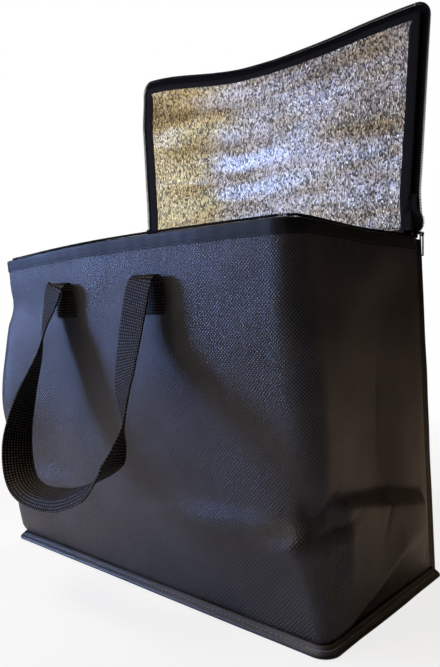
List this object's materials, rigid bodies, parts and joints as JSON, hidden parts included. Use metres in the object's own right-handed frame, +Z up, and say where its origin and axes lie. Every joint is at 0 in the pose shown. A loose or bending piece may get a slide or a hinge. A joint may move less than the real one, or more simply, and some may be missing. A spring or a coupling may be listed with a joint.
{
  "type": "cooler bag",
  "caption": "Soft insulated cooler tote: foil-lined foam walls, a zipped lid hinged on the back rim, bound seams and folded webbing handles on the front and back walls.",
  "frame": {"origin": "centre of the base panel's underside", "axes": "+Z up, front wall towards -Y, width along X with the parked zip slider on +X"},
  "size_m": [0.4366, 0.3646, 0.5501],
  "materials": {
    "fabric": "matt black laminated non-woven",
    "binding": "matt black non-woven tape",
    "foam": "white closed-cell foam",
    "foil": "crinkled metallised film",
    "board": "grey stiffener board",
    "zip": "black nylon",
    "metal": "plated",
    "webbing": "black woven strap"
  },
  "bodies": {
    "bag": {"outer_wrap": "fabric", "outer_back": "fabric", "outer_base": "fabric", "rim_binding": "binding", "base_binding": "binding", "back_binding_left": "binding", "back_binding_right": "binding", "hinge_tape": "binding", "wrap_foam": "foam", "back_foam": "foam", "base_foam": "foam", "wrap_liner": "foil", "back_liner": "foil", "base_liner": "foil", "base_board": "board", "rim_zip_tape": "zip", "rim_zip_coil": "zip", "zip_stop_left": "metal", "zip_stop_right": "metal", "front_handle_end_left": "webbing", "front_handle_end_right": "webbing", "back_handle_end_left": "webbing", "back_handle_end_right": "webbing"},
    "lid": {"lid_cover": "fabric", "lid_foam": "foam", "lid_liner": "foil", "lid_binding": "binding", "lid_zip_tape": "zip", "lid_zip_coil": "zip"},
    "zip_slider": {"zip_slider": "zip"},
    "zip_pull": {"zip_pull": "metal"},
    "front_handle": {"front_handle_strap": "webbing"},
    "back_handle": {"back_handle_strap": "webbing"}
  },
  "joints": [
    {"name": "lid_hinge", "type": "hinge", "parent": "bag", "child": "lid", "pos_m": [0, 0.0926, 0.3358], "axis": [-1, 0, 0], "range_deg": [-92, 8]},
    {"name": "front_handle_swing", "type": "hinge", "parent": "bag", "child": "front_handle", "pos_m": [-0.012, -0.12704, 0.29], "axis": [-1, 0, 0], "range_deg": [0, 150]},
    {"name": "back_handle_swing", "type": "hinge", "parent": "bag", "child": "back_handle", "pos_m": [0.012, 0.0983, 0.29], "axis": [1, 0, 0], "range_deg": [0, 150]},
    {"name": "zip_slide", "type": "slide", "parent": "bag", "child": "zip_slider", "axis": [0.051, -0.9987, 0], "range_m": [0, 0.2]},
    {"name": "zip_pull_swing", "type": "hinge", "parent": "zip_slider", "child": "zip_pull", "pos_m": [0.19416, 0.10195, 0.33375], "axis": [0.051, -0.9987, 0], "range_deg": [0, 120]}
  ]
}
